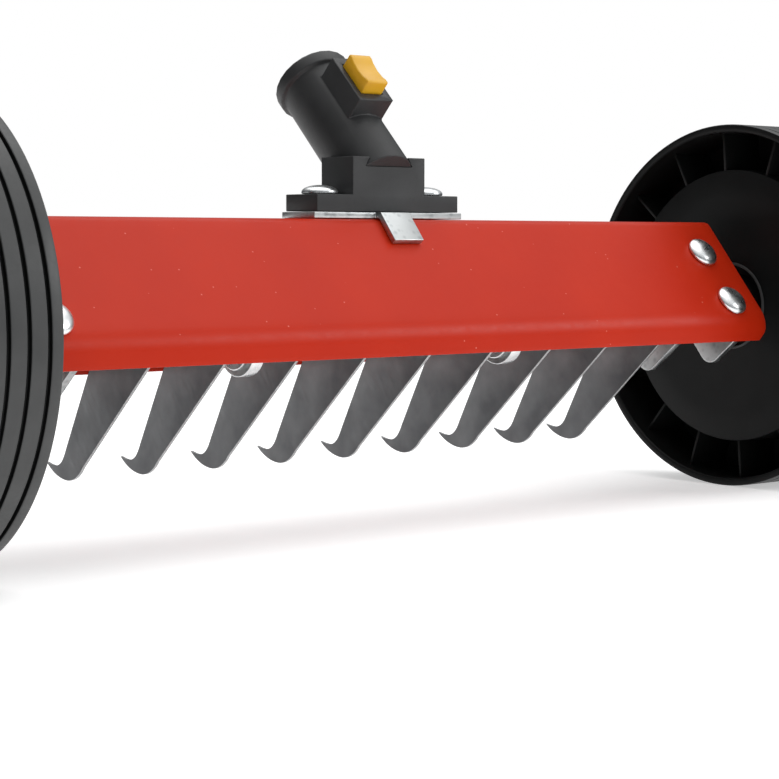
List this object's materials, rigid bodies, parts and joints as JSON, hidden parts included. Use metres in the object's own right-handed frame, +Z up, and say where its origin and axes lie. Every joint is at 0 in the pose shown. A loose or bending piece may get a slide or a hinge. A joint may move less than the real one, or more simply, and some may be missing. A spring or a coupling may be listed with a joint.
{
  "type": "lawn scarifier head",
  "caption": "Wheeled scarifier head with a red folded steel hood, a swinging gang of sickle blades, two wide grooved wheels and a quick-change handle socket.",
  "frame": {"origin": "on the ground, midway between the wheels and straight below their axles", "axes": "+Z up; +Y towards the person who pulls the tool; +X to the right seen from the front, along the wheels' axles"},
  "size_m": [0.578, 0.2, 0.2294],
  "materials": {
    "red_paint": "powder-coated sheet steel, satin gloss red",
    "zinc_sheet": "zinc-plated steel sheet, dull grey with bright cut edges",
    "blade_steel": "hardened spring steel, dark grey oiled finish",
    "zinc_fastener": "bright zinc-plated steel",
    "spring_steel": "drawn spring wire",
    "wheel_plastic": "moulded black polypropylene, satin",
    "cap_plastic": "moulded black plastic, semi-gloss",
    "bush_nylon": "natural nylon",
    "socket_plastic": "glass-filled black nylon, fine grain",
    "button_plastic": "moulded yellow plastic"
  },
  "bodies": {
    "frame": {"hood": "red_paint", "left_side_bracket": "zinc_sheet", "right_side_bracket": "zinc_sheet", "left_hanger": "zinc_sheet", "right_hanger": "zinc_sheet", "left_return_spring": "spring_steel", "right_return_spring": "spring_steel", "left_lower_bolt": "zinc_fastener", "right_lower_bolt": "zinc_fastener", "left_upper_bolt": "zinc_fastener", "right_upper_bolt": "zinc_fastener", "left_lower_nut": "zinc_fastener", "right_lower_nut": "zinc_fastener", "left_upper_nut": "zinc_fastener", "right_upper_nut": "zinc_fastener", "left_wheel_axle": "zinc_fastener", "right_wheel_axle": "zinc_fastener", "left_axle_spacer": "zinc_fastener", "right_axle_spacer": "zinc_fastener", "left_axle_nut": "zinc_fastener", "right_axle_nut": "zinc_fastener", "handle_saddle": "zinc_sheet", "socket_foot": "socket_plastic", "handle_socket": "socket_plastic", "left_socket_bolt": "zinc_fastener", "right_socket_bolt": "zinc_fastener", "left_socket_nut": "zinc_fastener", "right_socket_nut": "zinc_fastener", "button_spring": "spring_steel"},
    "blade_gang": {"blade_axle": "zinc_fastener", "blade_1": "blade_steel", "blade_2": "blade_steel", "blade_3": "blade_steel", "blade_4": "blade_steel", "blade_5": "blade_steel", "blade_6": "blade_steel", "blade_7": "blade_steel", "blade_8": "blade_steel", "blade_9": "blade_steel", "spacer_1": "zinc_fastener", "spacer_2_left": "zinc_fastener", "spacer_2_right": "zinc_fastener", "spacer_3": "zinc_fastener", "spacer_4": "zinc_fastener", "spacer_5": "zinc_fastener", "spacer_6_left": "zinc_fastener", "spacer_6_right": "zinc_fastener", "spacer_7": "zinc_fastener", "spacer_8": "zinc_fastener", "left_axle_ring": "spring_steel", "right_axle_ring": "spring_steel"},
    "left_wheel": {"left_wheel": "wheel_plastic", "left_wheel_bush": "bush_nylon", "left_hub_cap": "cap_plastic"},
    "right_wheel": {"right_wheel": "wheel_plastic", "right_wheel_bush": "bush_nylon", "right_hub_cap": "cap_plastic"},
    "release_button": {"release_button": "button_plastic"}
  },
  "joints": [
    {"name": "left_wheel_spin", "type": "hinge", "parent": "frame", "child": "left_wheel", "pos_m": [-0.2655, 0, 0.1], "axis": [1, 0, 0], "continuous": true},
    {"name": "right_wheel_spin", "type": "hinge", "parent": "frame", "child": "right_wheel", "pos_m": [0.2655, 0, 0.1], "axis": [1, 0, 0], "continuous": true},
    {"name": "blade_gang_swing", "type": "hinge", "parent": "frame", "child": "blade_gang", "pos_m": [0, -0.013, 0.0885], "axis": [1, 0, 0], "range_deg": [-50, 20], "stiffness_Nm_per_rad": 1.3, "springref_deg": 1.78},
    {"name": "release_button_press", "type": "slide", "parent": "frame", "child": "release_button", "axis": [0, 0.7071, -0.7071], "range_m": [0, 0.004], "stiffness_N_per_m": 400, "springref_m": -0.002}
  ]
}
